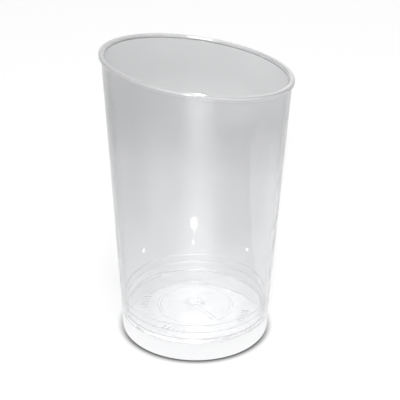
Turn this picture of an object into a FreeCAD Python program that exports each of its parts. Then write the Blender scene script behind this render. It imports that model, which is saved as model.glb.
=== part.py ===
import FreeCAD, Part
import math
import os

# Clear finger food cup, injection-moulded in one piece, in millimetres.
# The origin is the centre of the foot ring, on the surface the cup stands on, and +Z is the cup's axis.
# The mouth is cut on a slant: its rim is highest at -X and lowest at +X.

# Outside
foot_radius = 20.0        # wall's outer face, at the table
draft_deg = 3.0           # the wall widens upwards at this angle
mouth_height = 75.0       # mouth plane above the table, on the axis
mouth_slant_deg = 7.4     # mouth plane to the table

# Wall and rim
wall = 1.0                # level thickness of the side wall
bead_width = 0.65         # rim bead stands out past the wall by this much
bead_depth = 1.1          # bead's depth below the mouth plane
bead_round = 0.42         # rounding of the bead's upper outer edge
bead_bevel = 0.15         # bevel of its lower outer edge, where the mould parts
mouth_bevel = 0.25        # bevel of the rim's inner edge

# Stacking steps: below each the wall is thicker inside, so that nested cups rest on them and come apart
step_heights = (10.9, 8.7)
step_width = 0.22
step_drop = 0.22          # each step slopes down towards the axis by this much

# Floor, raised above the table inside an open foot ring
floor_top = 6.2
floor_thickness = 1.1
floor_round = 0.45        # inside corner between floor and wall

# Foot ring, seen from below as a recess under the floor
foot_thickness = 0.9      # ring's level thickness at the table
recess_draft_deg = 2.0    # the recess narrows upwards at this angle
recess_bevel = 0.4        # corner between the recess's side and its roof
foot_bevel = 0.25         # both edges of the foot at the table

# Moulded ring under the floor, a low ridge with sloping sides
ring_radius = 10.0
ring_base_width = 1.1
ring_crest_width = 0.5
ring_height = 0.3

# Gate: the stub left by the runner stands in a dimple under the floor, below a low dome inside
dimple_radius = 2.4
dimple_top_radius = 1.3
dimple_depth = 0.5
stub_radius = 0.6
stub_height = 0.35
stub_side = 0.1           # the stub's side leans out by this much at its root
dome_radius = 2.9
dome_top_radius = 1.8
dome_height = 0.3

# Plain mould marks under the floor: groups of ticks outside the moulded ring, and a pair of bars inside it
mark_width = 0.5
mark_height = 0.2
tick_groups_deg = (-24, 96, 176, 246)
ticks_in_group = 5
tick_pitch_deg = 5.5
tick_inner_radius = 13.2
tick_length = 1.8
bar_start = FreeCAD.Vector(2.6, -3.6, 0)
bar_end = FreeCAD.Vector(5.2, -7.6, 0)
bar_pitch = 1.3

# Reach of the blank above the rim, and of the block that cuts the mouth
blank_height = 90.0
cutter_reach = 40.0

ORIGIN = FreeCAD.Vector(0, 0, 0)
Y_AXIS = FreeCAD.Vector(0, 1, 0)
Z_AXIS = FreeCAD.Vector(0, 0, 1)

floor_underside = floor_top - floor_thickness


def outer_radius(z):
    """Radius of the wall's outer face at a height."""
    return foot_radius + z * math.tan(math.radians(draft_deg))


def inner_radius(z):
    """Radius of the wall's inner face at a height above the stacking steps."""
    return outer_radius(z) - wall


def rounded_wire(corners):
    """Closed wire in the XZ plane through (radius, height, rounding) corners, its corners made arcs."""
    points = [FreeCAD.Vector(r, 0, z) for r, z, _ in corners]
    edges = []
    leaves = []
    enters = []
    for i, (_, _, rounding) in enumerate(corners):
        here = points[i]
        back = (points[i - 1] - here).normalize()
        on = (points[(i + 1) % len(points)] - here).normalize()
        if rounding == 0:
            enters.append(here)
            leaves.append(here)
            continue
        half_turn = back.getAngle(on) / 2
        setback = rounding / math.tan(half_turn)
        middle = here + (back + on).normalize() * (rounding / math.sin(half_turn) - rounding)
        enters.append(here + back * setback)
        leaves.append(here + on * setback)
        edges.append(Part.Arc(enters[-1], middle, leaves[-1]).toShape())
    for i in range(len(points)):
        edges.append(Part.LineSegment(leaves[i - 1], enters[i]).toShape())
    return Part.Wire(Part.__sortEdges__(edges))


def revolved(corners):
    """Solid of revolution about the cup's axis from (radius, height, rounding) corners."""
    return Part.Face(rounded_wire(corners)).revolve(ORIGIN, Z_AXIS, 360)


def underside():
    """Corners of the floor's lower face, from the axis out: gate stub, dimple, moulded ring."""
    dimple_roof = floor_underside + dimple_depth
    stub_end = dimple_roof - stub_height
    ring_foot = ring_base_width / 2
    ring_crest = ring_crest_width / 2
    return [
        (0, stub_end, 0),
        (stub_radius, stub_end, 0),
        (stub_radius + stub_side, dimple_roof, 0),
        (dimple_top_radius, dimple_roof, 0),
        (dimple_radius, floor_underside, 0),
        (ring_radius - ring_foot, floor_underside, 0),
        (ring_radius - ring_crest, floor_underside - ring_height, 0),
        (ring_radius + ring_crest, floor_underside - ring_height, 0),
        (ring_radius + ring_foot, floor_underside, 0),
    ]


def foot():
    """Corners of the foot ring: recess roof, inner edge and outer edge at the table."""
    recess_lean = math.tan(math.radians(recess_draft_deg))
    foot_inner_radius = foot_radius - foot_thickness
    recess_top_radius = foot_inner_radius - recess_lean * floor_underside
    return [
        (recess_top_radius - recess_bevel, floor_underside, 0),
        (recess_top_radius, floor_underside - recess_bevel, 0),
        (foot_inner_radius, foot_bevel, 0),
        (foot_inner_radius + foot_bevel, 0, 0),
        (foot_radius - foot_bevel, 0, 0),
        (outer_radius(foot_bevel), foot_bevel, 0),
    ]


def inside():
    """Corners of the inner face, from above the rim down the wall, over the steps and in to the axis."""
    corners = [(inner_radius(blank_height), blank_height, 0)]
    added = 0
    for height in step_heights:
        toe = height - step_drop
        corners.append((inner_radius(height) - added, height, 0))
        added += step_width
        corners.append((inner_radius(toe) - added, toe, 0))
    return corners + [
        (inner_radius(floor_top) - added, floor_top, floor_round),
        (dome_radius, floor_top, 0),
        (dome_top_radius, floor_top + dome_height, 0),
        (0, floor_top + dome_height, 0),
    ]


def blank():
    """The cup turned about its axis, with a wall that runs on past the rim."""
    top_outside = (outer_radius(blank_height), blank_height, 0)
    return revolved(underside() + foot() + [top_outside] + inside())


def rim_reach(side):
    """Distance from the axis of the wall's outer face in the mouth plane, at the low (+1) or high (-1) side."""
    slope = math.tan(math.radians(mouth_slant_deg)) * math.tan(math.radians(draft_deg))
    return outer_radius(mouth_height) / (1 + side * slope)


def slanted(solid, depth):
    """The solid, made about a level mouth centred on the origin, set into the mouth plane.

    It is centred on the wall at that depth under the plane, because its own axis leans and the wall's doesn't.
    """
    lean = depth * math.sin(math.radians(mouth_slant_deg))
    off_centre = (rim_reach(1) - rim_reach(-1)) / 2 + lean
    drop = off_centre * math.tan(math.radians(mouth_slant_deg))
    solid.rotate(ORIGIN, Y_AXIS, mouth_slant_deg)
    solid.translate(FreeCAD.Vector(off_centre, 0, mouth_height - drop))
    return solid


def mouth_radius():
    """Mean radius of the wall's outer face in the mouth plane, a near-round ellipse."""
    length = (rim_reach(1) + rim_reach(-1)) / math.cos(math.radians(mouth_slant_deg))
    return (length / 2 + outer_radius(mouth_height)) / 2


def bead():
    """Band round the mouth: level on top and below in the mouth's own plane, rounded at its upper outer edge."""
    crest = mouth_radius() + bead_width
    return slanted(revolved([
        (mouth_radius() - wall / 2, 0, 0),
        (mouth_radius() - wall / 2, -bead_depth, 0),
        (crest - bead_bevel, -bead_depth, 0),
        (crest, bead_bevel - bead_depth, 0),
        (crest, 0, bead_round),
    ]), bead_depth / 2)


def mouth_cutter():
    """What is cut away above the mouth: all that stands over its plane, and its sharp inner edge."""
    bevel_edge = mouth_radius() - wall + mouth_bevel
    return slanted(revolved([
        (0, cutter_reach, 0),
        (0, -bevel_edge, 0),
        (bevel_edge, 0, 0),
        (cutter_reach, 0, 0),
        (cutter_reach, cutter_reach, 0),
    ]), 0)


def marks():
    """Low ticks and bars that stand down from the floor."""
    shapes = []
    level = floor_underside - mark_height
    depth = mark_height + floor_thickness / 2
    tick_corner = FreeCAD.Vector(tick_inner_radius, -mark_width / 2, level)
    for group in tick_groups_deg:
        for i in range(ticks_in_group):
            tick = Part.makeBox(tick_length, mark_width, depth, tick_corner)
            tick.rotate(ORIGIN, Z_AXIS, group + tick_pitch_deg * (i - (ticks_in_group - 1) / 2))
            shapes.append(tick)
    run = bar_end - bar_start
    for side in (-1, 1):
        bar_corner = FreeCAD.Vector(0, side * bar_pitch / 2 - mark_width / 2, level)
        bar = Part.makeBox(run.Length, mark_width, depth, bar_corner)
        bar.rotate(ORIGIN, Z_AXIS, math.degrees(math.atan2(run.y, run.x)))
        bar.translate(bar_start)
        shapes.append(bar)
    return shapes


def cup():
    """The whole moulding."""
    return blank().fuse([bead()] + marks()).cut(mouth_cutter()).removeSplitter()


os.makedirs("parts", exist_ok=True)
shape = cup()
shape.exportStep("parts/cup.step")
print("valid", shape.isValid(), "solids", len(shape.Solids), "volume mm3", round(shape.Volume, 1))
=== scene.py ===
import math

import bpy
from mathutils import Matrix, Vector


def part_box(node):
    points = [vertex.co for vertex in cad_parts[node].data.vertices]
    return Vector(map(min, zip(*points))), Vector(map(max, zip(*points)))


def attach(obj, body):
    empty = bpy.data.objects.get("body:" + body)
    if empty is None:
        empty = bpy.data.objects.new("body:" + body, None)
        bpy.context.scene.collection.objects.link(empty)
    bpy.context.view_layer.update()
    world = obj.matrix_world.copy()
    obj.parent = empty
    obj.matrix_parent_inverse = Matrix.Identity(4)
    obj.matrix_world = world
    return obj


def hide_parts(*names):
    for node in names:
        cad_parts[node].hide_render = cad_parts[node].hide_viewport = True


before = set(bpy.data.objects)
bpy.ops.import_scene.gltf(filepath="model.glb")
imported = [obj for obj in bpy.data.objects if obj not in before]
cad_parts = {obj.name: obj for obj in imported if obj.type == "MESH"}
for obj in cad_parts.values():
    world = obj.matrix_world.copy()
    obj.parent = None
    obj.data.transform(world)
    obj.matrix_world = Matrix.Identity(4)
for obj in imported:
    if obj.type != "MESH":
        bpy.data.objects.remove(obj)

# A clear moulded finger food cup with a slanted mouth, standing on a white table.
# The cup's section and the places on it are in millimetres, as they are drawn. Lamps and camera are in metres.
MM = 0.001

# Wall, mouth and foot of the moulding, the same as those of the solid it stands for
FOOT_RADIUS = 20.0          # wall's outer face, at the table
DRAFT = math.tan(math.radians(3.0))
WALL = 1.0
MOUTH_HEIGHT = 75.0         # mouth plane above the table, on the axis
SLANT = math.tan(math.radians(7.4))
FOOT_THICKNESS = 0.9
RECESS_DRAFT = math.tan(math.radians(2.0))

# Rim bead, a little less proud than the solid's to stay inside its box, and the bevel of the rim's inner edge
BEAD_WIDTH = 0.58
BEAD_DEPTH = 1.1
MOUTH_BEVEL = 0.42

# Stacking steps and floor
STEP_HEIGHTS = (10.9, 8.7)
STEP_WIDTH = 0.22
STEP_DROP = 0.22
FLOOR_TOP = 6.2
FLOOR_THICKNESS = 1.1
FLOOR_UNDER = FLOOR_TOP - FLOOR_THICKNESS

# Moulded ring, gate stub in its dimple, and the dome above them.
# The ring and the marks stand lower than the solid's, at whose height they would show too dark.
RING_RADIUS = 10.0
RING_HALF_BASE = 0.45
RING_HALF_CREST = 0.3
RING_HEIGHT = 0.14
DIMPLE_RADIUS = 2.4
DIMPLE_DEPTH = 0.5
STUB_RADIUS = 0.6
STUB_HEIGHT = 0.35
STUB_SIDE = 0.1
DOME_RADIUS = 2.9
DOME_HEIGHT = 0.3
SIDE_WIDTH = 1.1            # level width of the dome's and dimple's sloping sides

# Plain marks under the floor: a pair of bars, and groups of ticks where such cups carry lettering
BAR_START = Vector((2.6, -3.6))
BAR_END = Vector((5.2, -7.6))
BAR_PITCH = 1.3
BAR_WIDTH = 0.5
TICK_GROUPS = (-24, 96, 176, 246)
TICKS_IN_GROUP = 5
TICK_PITCH = 5.5
TICK_RADII = (13.2, 15.0)
TICK_WIDTH = 0.5
MARK_HEIGHT = 0.1
MARK_SIDE = 0.15            # run of a mark's sloping side, and of its end
MARK_END = 0.2

# Roundings
EDGE_ROUND = 0.1            # small edges: stub root, ring, steps and the rim's inner bevel
BEAD_ROOT_ROUND = 0.12
BEAD_LOWER_ROUND = 0.18
BEAD_UPPER_ROUND = 0.55
STUB_ROUND = 0.12
DIMPLE_ROUND = 0.4
RECESS_ROUND = 0.25
FOOT_INNER_ROUND = 0.3
FOOT_OUTER_ROUND = 0.45
FLOOR_ROUND = 0.45
DOME_ROUND = 0.6

# Fineness of the mesh
AROUND = 440                # sections round the cup
ARC_STEPS = 4               # faces along a rounded corner
CORNER_LEAD = 0.05          # short face on either side of it, which keeps its shading off the flats
WALL_ROWS = 6               # faces up the wall, inside and outside
MARK_ROWS = 0.35            # longest face along the section where the marks are
MARK_MARGIN = 0.5           # how far past the marks that goes
RUN_IN = 1.0                # plain wall between a profile's end and its first corner
HAIR = 0.02                 # less than any face, for telling faces apart by their place
CORNER_BAND = 3.0           # the floor's rounded corner is nearer than this to the foot's outer face
STEP_BAND = 0.5             # the last step's slope ends less than this below its toe

# The cup's materials, in the order of its slots: wall, rim bead, matt steps and floor corner, foot with floor
WALL_FACE, BEAD, MATT, FOOT = range(4)

# Clear polystyrene: its cast (red and green to blue), and the ripples and scuffs of its surface
IOR = 1.59
CAST = (0.987, 0.991)
RIPPLE_SCALE = 250.0
RIPPLE_HEIGHT = 0.00012
SCUFF_SCALE = 400.0
WAVES_ON_WALL = 0.35
WAVES_ON_RIM = 0.2

# Share of light that a wall lets through, from the foot (0) to the mouth (1): partly the plastic's haze, partly
# painted shade of the darker surroundings seen through the cup
HAZE_AND_SHADE = [
    (0.0, 0.985),
    (0.05, 0.975),
    (0.07, 0.94),
    (0.1, 0.93),
    (0.15, 0.92),
    (0.2, 0.88),
    (0.35, 0.835),
    (0.55, 0.82),
    (0.7, 0.78),
    (0.78, 0.715),
    (0.88, 0.675),
    (0.94, 0.685),
    (1.0, 0.705),
]
UPPER_WALL = (0.3, 0.75)    # where what follows comes in
CLOUD_SCALE = 45.0
CLOUD_DRIFT = 0.2           # how far up and down the grey of the ramp drifts
PAINTED_LIGHT_TO_RIGHT = 2.4         # painted light: share by which the upper wall is made lighter, for each metre to the right, and for each metre to the front
PAINTED_LIGHT_TO_FRONT = 1.8         # and for each metre to the front

# Darker runs down the wall, painted shade of darker surroundings seen in it, as (degrees round the cup, share of
# light lost)
PAINTED_SHADE_RUNS = [(-56, 0.075), (-142, 0.055)]
STREAK_FADE = (0.9, 0.99)   # cosine of the turn away from a run, at its edge and at its middle
STREAK_START = (0.4, 0.55)  # share of the wall's height
STREAK_END = (0.86, 0.95)

# The outer face deepens where it is seen at a glance, and the bead does so less: partly the longer path through
# the tinted wall, partly painted shade of darker surroundings at the silhouette.
# Each is told by its distance from the axis, less the draft.
OUTER_FACE = (FOOT_RADIUS - 0.6, FOOT_RADIUS - 0.4)
BEAD_FACE = (FOOT_RADIUS + 0.1, FOOT_RADIUS + 0.3)
GLANCE = (0.5, 0.95)
GLANCE_DEPTH = 3.0
GLANCE_ON_BEAD = 0.3

# Painted shade at the back of the recess's side, standing for the table's shadow behind the cup seen through the
# floor: its share, and where that is: radius, height and place to the back
RECESS_PAINTED_SHADE = 0.17
RECESS_RADIUS = FOOT_RADIUS - FOOT_THICKNESS
RECESS_INSIDE = (RECESS_RADIUS - 0.6, RECESS_RADIUS - 0.4)
RECESS_OUTSIDE = (RECESS_RADIUS + 0.2, RECESS_RADIUS + 0.4)
RECESS_TOP = (FLOOR_UNDER - 0.5, FLOOR_UNDER - 0.1)
RECESS_BACK = (-2.0, 6.0)

# The line of shadow where the cup meets the table: how far it reaches, how open to the sky it lies, its darkest
# tone, and how it weakens to the back
CONTACT_REACH = 2.3
CONTACT_OPEN = (0.4, 1.0)
CONTACT_TONE = 0.12
CONTACT_BACK = (-12.0, 2.0)
CONTACT_AT_BACK = 0.5

# The table, its width in diagonals of the cup, and the gap that keeps it off the foot
TABLE_WHITE = 0.95
TABLE_WIDTH = 120
TABLE_GAP = 0.05

# How an area lamp fades along a side, as (middle, half width at full strength, half width at nothing)
PLAIN_FADE = (0.5, 0.1, 0.5)
CARD_FADE = (0.5, 0.0, 0.5)
FLAT_FADE = (0.5, 0.3, 0.5)

# Light that is caught inside the clear walls turns black if it is dropped early
BOUNCES = 64


def outer_radius(z):
    return FOOT_RADIUS + DRAFT * z


def rounded(corners):
    """Points along (x, y, rounding) corners, each rounded corner as an arc with a short lead on either side."""
    points = []
    for i, (x, y, rounding) in enumerate(corners):
        here = Vector((x, y))
        if rounding == 0:
            points.append(here)
            continue
        back = (Vector(corners[i - 1][:2]) - here).normalized()
        on = (Vector(corners[i + 1][:2]) - here).normalized()
        half_turn = back.angle(on) / 2
        centre = here + (back + on).normalized() * (rounding / math.sin(half_turn))
        start = here + back * (rounding / math.tan(half_turn)) - centre
        end = here + on * (rounding / math.tan(half_turn)) - centre
        swing = start.angle_signed(end)
        points.append(centre + start + back * CORNER_LEAD)
        for step in range(ARC_STEPS + 1):
            turn = Matrix.Rotation(-swing * step / ARC_STEPS, 2)
            points.append(centre + turn @ start)
        points.append(centre + end + on * CORNER_LEAD)
    return points


def subdivided(points, longest, inner, outer):
    """The same points with more between them, so that no run between two radii is longer than that."""
    out = [points[0]]
    for a, b in zip(points, points[1:]):
        marked = inner <= max(a.x, b.x) and min(a.x, b.x) <= outer
        count = max(1, math.ceil((b - a).length / longest)) if marked else 1
        out += [a.lerp(b, k / count) for k in range(1, count + 1)]
    return out


def lower_section():
    """From the axis under the floor, out over the ring, round the recess and the foot, to the outer wall."""
    roof = FLOOR_UNDER + DIMPLE_DEPTH
    crest = FLOOR_UNDER - RING_HEIGHT
    return rounded([
        (0, roof - STUB_HEIGHT, 0),
        (STUB_RADIUS, roof - STUB_HEIGHT, STUB_ROUND),
        (STUB_RADIUS + STUB_SIDE, roof, EDGE_ROUND),
        (DIMPLE_RADIUS - SIDE_WIDTH, roof, DIMPLE_ROUND),
        (DIMPLE_RADIUS, FLOOR_UNDER, DIMPLE_ROUND),
        (RING_RADIUS - RING_HALF_BASE, FLOOR_UNDER, EDGE_ROUND),
        (RING_RADIUS - RING_HALF_CREST, crest, EDGE_ROUND),
        (RING_RADIUS + RING_HALF_CREST, crest, EDGE_ROUND),
        (RING_RADIUS + RING_HALF_BASE, FLOOR_UNDER, EDGE_ROUND),
        (RECESS_RADIUS - RECESS_DRAFT * FLOOR_UNDER, FLOOR_UNDER, RECESS_ROUND),
        (RECESS_RADIUS, 0, FOOT_INNER_ROUND),
        (FOOT_RADIUS, 0, FOOT_OUTER_ROUND),
        (outer_radius(RUN_IN), RUN_IN, 0),
        (outer_radius(FLOOR_TOP), FLOOR_TOP, 0),
    ])


def rim_section():
    """The rim from the bead's root over to the inner wall, as (distance out from the wall's face, depth)."""
    return rounded([
        (0, BEAD_DEPTH + RUN_IN, 0),
        (0, BEAD_DEPTH, BEAD_ROOT_ROUND),
        (BEAD_WIDTH, BEAD_DEPTH, BEAD_LOWER_ROUND),
        (BEAD_WIDTH, 0, BEAD_UPPER_ROUND),
        (MOUTH_BEVEL - WALL, 0, EDGE_ROUND),
        (-WALL, MOUTH_BEVEL, EDGE_ROUND),
        (-WALL, RUN_IN, 0),
    ])


def upper_section():
    """From the inner wall, over the two stacking steps and in across the floor to the axis."""
    top = STEP_HEIGHTS[0] + RUN_IN
    corners = [(outer_radius(top) - WALL, top, 0)]
    thickness = WALL
    for height in STEP_HEIGHTS:
        toe = height - STEP_DROP
        corners.append((outer_radius(height) - thickness, height, EDGE_ROUND))
        thickness += STEP_WIDTH
        corners.append((outer_radius(toe) - thickness, toe, EDGE_ROUND))
    return rounded(corners + [
        (outer_radius(FLOOR_TOP) - thickness, FLOOR_TOP, FLOOR_ROUND),
        (DOME_RADIUS, FLOOR_TOP, DOME_ROUND),
        (DOME_RADIUS - SIDE_WIDTH, FLOOR_TOP + DOME_HEIGHT, DOME_ROUND),
        (0, FLOOR_TOP + DOME_HEIGHT, 0),
    ])


def rim_point(out, down, angle):
    """Radius and height of a rim point on the slanted mouth, in the half plane at that angle."""
    slope = SLANT * math.cos(angle)
    radius = (FOOT_RADIUS + out + DRAFT * (MOUTH_HEIGHT - down)) / (1 + DRAFT * slope)
    return Vector((radius, MOUTH_HEIGHT - down - slope * radius))


def ridge(across, along):
    """Height of a low bar with sloping sides, from how far inside its side and end a place lies."""
    side = min(1, max(0, across / MARK_SIDE + 0.5))
    end = min(1, max(0, along / MARK_END + 0.5))
    return MARK_HEIGHT * side * end


def mark_height(radius, angle):
    """How far the moulded bars and ticks stand down from the floor's lower face at that place."""
    height = 0
    degrees = math.degrees(angle)
    last = TICKS_IN_GROUP // 2
    for group in TICK_GROUPS:
        turn = (degrees - group + 180) % 360 - 180
        nearest = max(-last, min(last, round(turn / TICK_PITCH)))
        off = abs(math.radians(turn - nearest * TICK_PITCH)) * radius
        inside = min(radius - TICK_RADII[0], TICK_RADII[1] - radius)
        height = max(height, ridge(TICK_WIDTH / 2 - off, inside))
    run = BAR_END - BAR_START
    on = run.normalized()
    place = Vector((math.cos(angle), math.sin(angle))) * radius - BAR_START
    travel = place.dot(on)
    for side in (-1, 1):
        off = abs(place.cross(on) - side * BAR_PITCH / 2)
        height = max(height, ridge(BAR_WIDTH / 2 - off, min(travel, run.length - travel)))
    return height


def section(angle, lower, rim, upper):
    """The whole section in the half plane at that angle, as (radius, height)."""
    points = []
    for p in lower:
        flat = abs(p.y - FLOOR_UNDER) < 1e-6
        points.append(p - Vector((0, mark_height(p.x, angle) if flat else 0)))
    edge = [rim_point(p.x, p.y, angle) for p in rim]
    points += [lower[-1].lerp(edge[0], k / WALL_ROWS) for k in range(1, WALL_ROWS)]
    points += edge
    points += [edge[-1].lerp(upper[0], k / WALL_ROWS) for k in range(1, WALL_ROWS)]
    return points + upper


def section_kinds(lower, rim, upper):
    """The material of each face along the section, apart from the first and the last, which end at the axis."""
    kinds = [FOOT] * (len(lower) - 2) + [WALL_FACE] * WALL_ROWS
    for a, b in zip(rim, rim[1:]):
        on_bead = max(a.y, b.y) < BEAD_DEPTH + HAIR / 2 and abs(a.x - b.x) > 1e-4
        kinds.append(BEAD if on_bead else WALL_FACE)
    kinds += [WALL_FACE] * WALL_ROWS
    floor_reach = STEP_HEIGHTS[-1] - STEP_DROP - STEP_BAND
    for a, b in zip(upper, upper[1:-1]):
        on_slope = any(h - STEP_DROP - HAIR < b.y and a.y < h + HAIR for h in STEP_HEIGHTS)
        in_corner = b.x > FOOT_RADIUS - CORNER_BAND and a.y < FLOOR_TOP + FLOOR_ROUND + CORNER_LEAD
        if on_slope or in_corner:
            kinds.append(MATT)
        else:
            kinds.append(FOOT if b.y < floor_reach else WALL_FACE)
    return kinds


def turned_mesh(name):
    """The cup as one closed mesh, in its four materials."""
    lower = subdivided(lower_section(), MARK_ROWS, DIMPLE_RADIUS + MARK_MARGIN, TICK_RADII[1] + MARK_MARGIN)
    rim = rim_section()
    upper = upper_section()
    kinds = section_kinds(lower, rim, upper)
    rows = len(kinds) + 1
    vertices = []
    for i in range(AROUND):
        angle = 2 * math.pi * i / AROUND
        ring = section(angle, lower, rim, upper)[1:-1]
        vertices += [(p.x * math.cos(angle) * MM, p.x * math.sin(angle) * MM, p.y * MM) for p in ring]
    bottom = len(vertices)
    top = bottom + 1
    vertices += [(0, 0, lower[0].y * MM), (0, 0, upper[-1].y * MM)]
    faces = []
    slots = []
    for i in range(AROUND):
        here = i * rows
        beside = (i + 1) % AROUND * rows
        faces.append((bottom, beside, here))
        slots.append(FOOT)
        for k, kind in enumerate(kinds):
            faces.append((here + k, beside + k, beside + k + 1, here + k + 1))
            slots.append(kind)
        faces.append((here + rows - 1, beside + rows - 1, top))
        slots.append(FOOT)
    mesh = bpy.data.meshes.new(name)
    mesh.from_pydata(vertices, [], faces)
    mesh.polygons.foreach_set("material_index", slots)
    mesh.validate()
    mesh.shade_smooth()
    return mesh


def put(tree, socket, value):
    """Links a socket to an input, or sets the input to a plain value."""
    if isinstance(value, bpy.types.NodeSocket):
        tree.links.new(value, socket)
    else:
        socket.default_value = value


def add(tree, kind, **inputs):
    """A node with its inputs set to values or linked from sockets."""
    node = tree.nodes.new(kind)
    for key, value in inputs.items():
        put(tree, node.inputs[key.replace("_", " ")], value)
    return node


def joined(tree, operation, a, b=0.0):
    """Math node on two sockets or numbers."""
    node = tree.nodes.new("ShaderNodeMath")
    node.operation = operation
    for socket, value in zip(node.inputs, (a, b)):
        put(tree, socket, value)
    return node.outputs[0]


def product(tree, a, b):
    return joined(tree, "MULTIPLY", a, b)


def vector_math(tree, operation, vector, other=None):
    """Vector Math node on a vector socket and, if given, a second vector."""
    node = tree.nodes.new("ShaderNodeVectorMath")
    node.operation = operation
    tree.links.new(vector, node.inputs[0])
    if other is not None:
        put(tree, node.inputs[1], other)
    return node


def scaled(tree, color, factor):
    """A colour times a socket or number."""
    node = vector_math(tree, "SCALE", color)
    put(tree, node.inputs["Scale"], factor)
    return node.outputs[0]


def ramp_between(tree, value, limits, at_low=0.0, at_high=1.0):
    """Smooth step of a value between two limits."""
    node = add(tree, "ShaderNodeMapRange", Value=value)
    node.interpolation_type = "SMOOTHSTEP"
    for name, number in zip(("From Min", "From Max", "To Min", "To Max"), (*limits, at_low, at_high)):
        node.inputs[name].default_value = number
    return node.outputs["Result"]


def ramp_over(tree, distance, limits, at_low=0.0, at_high=1.0):
    """The same of a distance, with its limits in millimetres."""
    return ramp_between(tree, distance, (limits[0] * MM, limits[1] * MM), at_low, at_high)


def object_place(tree):
    """Position on the object, in metres."""
    return tree.nodes.new("ShaderNodeTexCoord").outputs["Object"]


def off_axis(tree, spot):
    """The level vector from the cup's axis to a place."""
    return add(tree, "ShaderNodeCombineXYZ", X=spot["X"], Y=spot["Y"]).outputs[0]


def from_axis(tree, spot):
    """Distance of a place from the cup's axis."""
    return vector_math(tree, "LENGTH", off_axis(tree, spot)).outputs["Value"]


def plastic_grey(grey):
    """The plastic's own faint cast at that tone."""
    return (grey * CAST[0], grey * CAST[1], grey, 1)


def new_material(name):
    material = bpy.data.materials.new(name)
    material.use_nodes = True
    return material, material.node_tree


def finish_plastic(tree, tint, waves, clear, roughness):
    """Sets the tree's shader to clear plastic of that tint, with a surface that is not quite even."""
    shader = tree.nodes["Principled BSDF"]
    place = object_place(tree)
    ripple = add(tree, "ShaderNodeTexNoise", Vector=place, Scale=RIPPLE_SCALE, Detail=1.0, Roughness=0.4)
    wave = add(tree, "ShaderNodeBump", Strength=waves, Distance=RIPPLE_HEIGHT, Height=ripple.outputs["Fac"])
    tree.links.new(tint, shader.inputs["Base Color"])
    tree.links.new(wave.outputs["Normal"], shader.inputs["Normal"])
    shader.inputs["IOR"].default_value = IOR
    shader.inputs["Transmission Weight"].default_value = clear
    shader.inputs["Roughness"].default_value = roughness


def deepened(tree, tint, spot):
    """The tint, deeper where the wall's outer face is seen at a glance: partly a longer path through the tint,
    partly painted shade along the silhouette.
    """
    face = joined(tree, "SUBTRACT", from_axis(tree, spot), product(tree, spot["Z"], DRAFT))
    outside = ramp_over(tree, face, OUTER_FACE)
    off_bead = ramp_over(tree, face, BEAD_FACE, 1, GLANCE_ON_BEAD)
    facing = add(tree, "ShaderNodeLayerWeight", Blend=0.5).outputs["Facing"]
    edgewise = ramp_between(tree, facing, GLANCE, 0, GLANCE_DEPTH)
    glance = product(tree, edgewise, product(tree, outside, off_bead))
    return add(tree, "ShaderNodeGamma", Color=tint, Gamma=joined(tree, "ADD", glance, 1.0)).outputs["Color"]


def painted_shade_runs(tree, spot, level):
    """Share of light that the wall's darker runs take away, from half way up to just below the mouth: painted
    shade of darker surroundings seen in the wall.
    """
    way = vector_math(tree, "NORMALIZE", off_axis(tree, spot)).outputs["Vector"]
    lost = 0.0
    for degrees, depth in PAINTED_SHADE_RUNS:
        turn = math.radians(degrees)
        near = vector_math(tree, "DOT_PRODUCT", way, (math.cos(turn), math.sin(turn), 0)).outputs["Value"]
        lost = joined(tree, "ADD", ramp_between(tree, near, STREAK_FADE, 0, depth), lost)
    middle = product(tree, ramp_between(tree, level, STREAK_START), ramp_between(tree, level, STREAK_END, 1, 0))
    return product(tree, lost, middle)


def recess_shade(tree, spot):
    """Painted shade at the back of the recess's side, standing for the table's shadow behind the cup, which
    shows grey through the floor.
    """
    radius = from_axis(tree, spot)
    ring = product(tree, ramp_over(tree, radius, RECESS_INSIDE), ramp_over(tree, radius, RECESS_OUTSIDE, 1, 0))
    below = ramp_over(tree, spot["Z"], RECESS_TOP, 1, 0)
    back = ramp_over(tree, spot["Y"], RECESS_BACK, 0, RECESS_PAINTED_SHADE)
    return product(tree, product(tree, ring, below), back)


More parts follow.
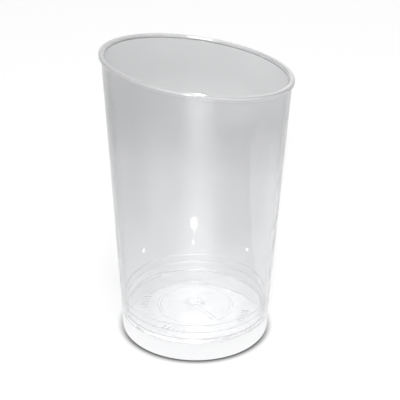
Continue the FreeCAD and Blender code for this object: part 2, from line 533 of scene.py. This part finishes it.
def clear_plastic(name, clear, roughness):
    """Clear polystyrene, water-clear at the floor, with a grey bloom under the rim that is partly haze and
    partly painted shade of darker surroundings; painted light lightens the upper wall to the right and front,
    and painted shade darkens runs down the wall and the back of the recess.
    """
    material, tree = new_material(name)
    place = object_place(tree)
    spot = add(tree, "ShaderNodeSeparateXYZ", Vector=place).outputs
    wall_height = joined(tree, "SUBTRACT", MOUTH_HEIGHT * MM, product(tree, spot["X"], SLANT))
    level = joined(tree, "DIVIDE", spot["Z"], wall_height)
    high = ramp_between(tree, level, UPPER_WALL)
    cloud = add(tree, "ShaderNodeTexNoise", Vector=place, Scale=CLOUD_SCALE, Detail=2.0, Roughness=0.5)
    swing = joined(tree, "SUBTRACT", cloud.outputs["Fac"], 0.5)
    drift = product(tree, swing, product(tree, high, CLOUD_DRIFT))
    # The grey ramp up the wall: partly the plastic's haze, partly painted shade of the darker surroundings seen
    # through it.
    haze_and_shade = tree.nodes.new("ShaderNodeValToRGB")
    tree.links.new(joined(tree, "ADD", level, drift), haze_and_shade.inputs["Fac"])
    while len(haze_and_shade.color_ramp.elements) < len(HAZE_AND_SHADE):
        haze_and_shade.color_ramp.elements.new(0.5)
    for element, (at, grey) in zip(haze_and_shade.color_ramp.elements, HAZE_AND_SHADE):
        element.position = at
        element.color = plastic_grey(grey)
    # Painted light: the upper wall made lighter to the right and to the front.
    to_right = product(tree, spot["X"], PAINTED_LIGHT_TO_RIGHT)
    to_back = product(tree, spot["Y"], PAINTED_LIGHT_TO_FRONT)
    gain = product(tree, joined(tree, "SUBTRACT", to_right, to_back), high)
    gain = joined(tree, "SUBTRACT", gain, painted_shade_runs(tree, spot, level))
    gain = joined(tree, "SUBTRACT", gain, recess_shade(tree, spot))
    tint = scaled(tree, haze_and_shade.outputs["Color"], joined(tree, "ADD", gain, 1.0))
    finish_plastic(tree, deepened(tree, tint, spot), WAVES_ON_WALL, clear, roughness)
    return material


def frosted_plastic(name, tones, clear, roughness):
    """The same plastic where its surface is scuffed or left matt by the mould, between two tones."""
    material, tree = new_material(name)
    place = object_place(tree)
    scuff = add(tree, "ShaderNodeTexNoise", Vector=place, Scale=SCUFF_SCALE, Detail=3.0, Roughness=0.6)
    tone = tree.nodes.new("ShaderNodeValToRGB")
    tree.links.new(scuff.outputs["Fac"], tone.inputs["Fac"])
    for element, grey in zip(tone.color_ramp.elements, tones):
        element.color = plastic_grey(grey)
    finish_plastic(tree, tone.outputs["Color"], WAVES_ON_RIM, clear, roughness)
    return material


def white_for_eyes(tree, surface, white, direct, through):
    """Shader that turns even white by one share to the camera, and by another to mirrored or refracted rays."""
    path = tree.nodes.new("ShaderNodeLightPath")
    share = product(tree, path.outputs["Is Camera Ray"], direct)
    for ray in ("Is Glossy Ray", "Is Transmission Ray"):
        share = joined(tree, "MAXIMUM", share, product(tree, path.outputs[ray], through))
    mix = tree.nodes.new("ShaderNodeMixShader")
    for socket, value in zip(mix.inputs, (share, surface, white)):
        tree.links.new(value, socket)
    return mix.outputs[0]


def floor_material():
    """White table top, with a dark line of shadow where the cup meets it."""
    material, tree = new_material("white_table")
    tree.nodes.clear()
    open_sky = add(tree, "ShaderNodeAmbientOcclusion", Distance=CONTACT_REACH * MM).outputs["AO"]
    contact = ramp_between(tree, open_sky, CONTACT_OPEN, CONTACT_TONE, 1)
    to_back = add(tree, "ShaderNodeSeparateXYZ", Vector=object_place(tree)).outputs["Y"]
    seen = tree.nodes.new("ShaderNodeLightPath").outputs["Is Camera Ray"]
    share = product(tree, seen, ramp_over(tree, to_back, CONTACT_BACK, 1, CONTACT_AT_BACK))
    shadow = product(tree, share, joined(tree, "SUBTRACT", 1.0, contact))
    shade = joined(tree, "SUBTRACT", 1.0, shadow)
    white = add(tree, "ShaderNodeCombineColor", Red=shade, Green=shade, Blue=shade).outputs["Color"]
    matt = add(tree, "ShaderNodeBsdfDiffuse", Color=scaled(tree, white, TABLE_WHITE))
    glow = add(tree, "ShaderNodeEmission", Color=white, Strength=1.0)
    out = tree.nodes.new("ShaderNodeOutputMaterial")
    shown = white_for_eyes(tree, matt.outputs[0], glow.outputs[0], direct=0.75, through=0.95)
    tree.links.new(shown, out.inputs["Surface"])
    return material


def make_floor(low, size):
    """A table top large enough to fill every view."""
    half = size * TABLE_WIDTH / 2
    mesh = bpy.data.meshes.new("table")
    z = low.z - TABLE_GAP * MM
    corners = [(-half, -half, z), (half, -half, z), (half, half, z), (-half, half, z)]
    mesh.from_pydata(corners, [], [(0, 1, 2, 3)])
    mesh.materials.append(floor_material())
    table = bpy.data.objects.new("table", mesh)
    bpy.context.collection.objects.link(table)


def make_world():
    """A pale room that lights the cup, and shows as plain white."""
    world = bpy.data.worlds.new("studio")
    bpy.context.scene.world = world
    world.use_nodes = True
    tree = world.node_tree
    tree.nodes.clear()
    room = add(tree, "ShaderNodeBackground", Color=(0.985, 0.99, 1, 1), Strength=0.5)
    white = add(tree, "ShaderNodeBackground", Color=(1, 1, 1, 1), Strength=1.0)
    out = tree.nodes.new("ShaderNodeOutputWorld")
    shown = white_for_eyes(tree, room.outputs[0], white.outputs[0], direct=1.0, through=1.0)
    tree.links.new(shown, out.inputs["Surface"])


def lamp(name, kind, place, aim, power, **settings):
    """A lamp at a place, pointing at an aim, and unseen by the camera."""
    data = bpy.data.lights.new(name, kind)
    data.energy = power
    for key, value in settings.items():
        setattr(data, key, value)
    thing = bpy.data.objects.new(name, data)
    thing.location = place
    thing.rotation_mode = "QUATERNION"
    thing.rotation_quaternion = (aim - place).to_track_quat("-Z", "Y")
    thing.visible_camera = False
    bpy.context.collection.objects.link(thing)
    return thing


def fade_out(thing, across, along, sharp):
    """Makes an area lamp fade along both its sides, in its own 0 to 1."""
    thing.data.use_nodes = True
    tree = thing.data.node_tree
    place = tree.nodes.new("ShaderNodeNewGeometry").outputs["Parametric"]
    spot = add(tree, "ShaderNodeSeparateXYZ", Vector=place).outputs
    fade = 1.0
    for axis, (middle, full, nothing) in zip(("X", "Y"), (across, along)):
        off = joined(tree, "ABSOLUTE", joined(tree, "SUBTRACT", spot[axis], middle))
        fade = product(tree, ramp_between(tree, off, (nothing, full)), fade)
    tree.links.new(joined(tree, "POWER", fade, sharp), tree.nodes["Emission"].inputs["Strength"])


def soft_box(name, place, aim, brightness, wide, high, across=PLAIN_FADE, along=PLAIN_FADE):
    """An area lamp of that radiance that fades towards its edges."""
    power = brightness * math.pi * wide * high
    thing = lamp(name, "AREA", place, aim, power, shape="RECTANGLE", size=wide, size_y=high)
    fade_out(thing, across, along, 1)
    return thing


def card(name, x, y, z, brightness, wide, deep, turn=0, across=CARD_FADE, along=CARD_FADE, sharp=1):
    """A glowing patch on the table that faces up, in millimetres, and only shows as a reflection in the wall."""
    place = Vector((x, y, z)) * MM
    wide *= MM
    deep *= MM
    power = brightness * math.pi * wide * deep
    thing = lamp(name, "AREA", place, place, power, shape="RECTANGLE", size=wide, size_y=deep)
    face_up = Matrix.Rotation(math.pi, 3, "X")
    thing.rotation_quaternion = (Matrix.Rotation(math.radians(turn), 3, "Z") @ face_up).to_quaternion()
    fade_out(thing, across, along, sharp)
    thing.visible_transmission = False


def towards(turn, rise):
    """Direction at so many degrees left of the front and above the table."""
    turn, rise = math.radians(turn), math.radians(rise)
    return Vector((-math.sin(turn) * math.cos(rise), -math.cos(turn) * math.cos(rise), math.sin(rise)))


def make_lamps(low, high, centre):
    """Soft lamps above and behind, and a weak sun from the front."""
    lamp("sun", "SUN", centre + towards(turn=6, rise=27), centre, power=1.6, angle=math.radians(2.5))
    soft_box("above", centre + towards(turn=-4, rise=60) * 0.45, centre, brightness=20, wide=0.07, high=0.5)
    soft_box("overhead", centre + towards(turn=0, rise=68) * 0.5, centre, brightness=3, wide=0.7, high=0.25)
    soft_box(
        "backdrop", centre + Vector((0.17, 0.6, 0.3)), centre,
        brightness=1, wide=0.62, high=0.32, across=(0.5, 0.1, 0.4))
    soft_box(
        "behind", centre + Vector((0.006, 0.46, 0.248)), centre,
        brightness=1.3, wide=0.13, high=0.055, across=FLAT_FADE, along=FLAT_FADE)
    soft_box(
        "behind_high", centre + Vector((0.004, 0.5, 0.296)), centre,
        brightness=2, wide=0.05, high=0.06)
    rim_front = Vector((0, low.y, MOUTH_HEIGHT * MM))
    glint = soft_box(
        "rim_front", rim_front + Vector((0.0875, 0.94, 0.33)) * 0.12, rim_front,
        brightness=2.5, wide=0.0035, high=0.014)
    glint.data.spread = math.radians(30)
    glint.visible_transmission = False
    rim_back = Vector((0.045, high.y, MOUTH_HEIGHT * MM))
    soft_box(
        "rim_back", rim_back + Vector((0, -0.064, 0.288)), rim_back,
        brightness=25, wide=0.085, high=0.026, across=FLAT_FADE, along=(0.5, 0.4, 0.5))


def make_cards():
    """Low cards round the cup, for the highlights on its wall."""
    card("front_near", x=2, y=-80, z=0.5, brightness=2.1, wide=90, deep=110)
    card("front_far", x=1, y=-166, z=1, brightness=2.5, wide=140, deep=160)
    card(
        "side", x=101, y=25, z=0.5, brightness=0.65, wide=145, deep=110,
        turn=-35.3, across=(0.6, 0.2, 0.6), along=(1, 0.1, 1))
    card("glint", x=-3.6, y=-84.8, z=2, brightness=30, wide=20, deep=12, sharp=3)
    card("glint_bead", x=-3.2, y=-77.5, z=3, brightness=6, wide=6, deep=3)
    card("glint_bead", x=-4.2, y=-71.3, z=3, brightness=6, wide=6, deep=3)
    card("glint_left", x=-59.5, y=-25.5, z=1, brightness=9, wide=3, deep=7)
    card("glint_right", x=60.2, y=-27.1, z=1, brightness=11, wide=3, deep=7)


def make_camera():
    """Looks down on the cup from the front, as in a shop's picture of it."""
    elevation = math.radians(25.4)
    distance = 270 * MM
    pivot = Vector((0, 0, 36)) * MM
    aim = Vector((0.96, 0, 37.3)) * MM
    roll = 0.0128
    data = bpy.data.cameras.new("camera")
    data.sensor_width = 36
    data.lens = 91.6
    data.clip_start = 0.01
    data.clip_end = 50
    camera = bpy.data.objects.new("camera", data)
    camera.rotation_mode = "QUATERNION"
    camera.location = pivot + Vector((0, -math.cos(elevation), math.sin(elevation))) * distance
    look = (aim - camera.location).to_track_quat("-Z", "Y")
    camera.rotation_quaternion = look @ Matrix.Rotation(roll, 3, "Z").to_quaternion()
    bpy.context.collection.objects.link(camera)
    bpy.context.scene.camera = camera


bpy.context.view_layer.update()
low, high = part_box("cup")
size = (high - low).length
centre = (low + high) / 2

cup = bpy.data.objects.new("clear_cup", turned_mesh("clear_cup"))
cup.data.materials.append(clear_plastic("clear_plastic", clear=0.9, roughness=0.04))
# The rim's grey is partly the frosted plastic's own tone, partly painted shade of the darker surroundings the
# bead would show.
cup.data.materials.append(frosted_plastic("rim_plastic", tones=(0.51, 0.59), clear=0.5, roughness=0.08))
cup.data.materials.append(frosted_plastic("step_plastic", tones=(0.96, 1.0), clear=0.5, roughness=0.25))
cup.data.materials.append(clear_plastic("foot_plastic", clear=1.0, roughness=0.03))
bpy.context.collection.objects.link(cup)
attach(cup, "root")
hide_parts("cup")

make_floor(low, size)
make_world()
make_lamps(low, high, centre)
make_cards()
make_camera()
bpy.context.scene.view_settings.view_transform = "Standard"
cycles = bpy.context.scene.cycles
cycles.max_bounces = BOUNCES
cycles.transmission_bounces = BOUNCES
cycles.glossy_bounces = BOUNCES
cycles.diffuse_bounces = BOUNCES

bpy.context.view_layer.update()
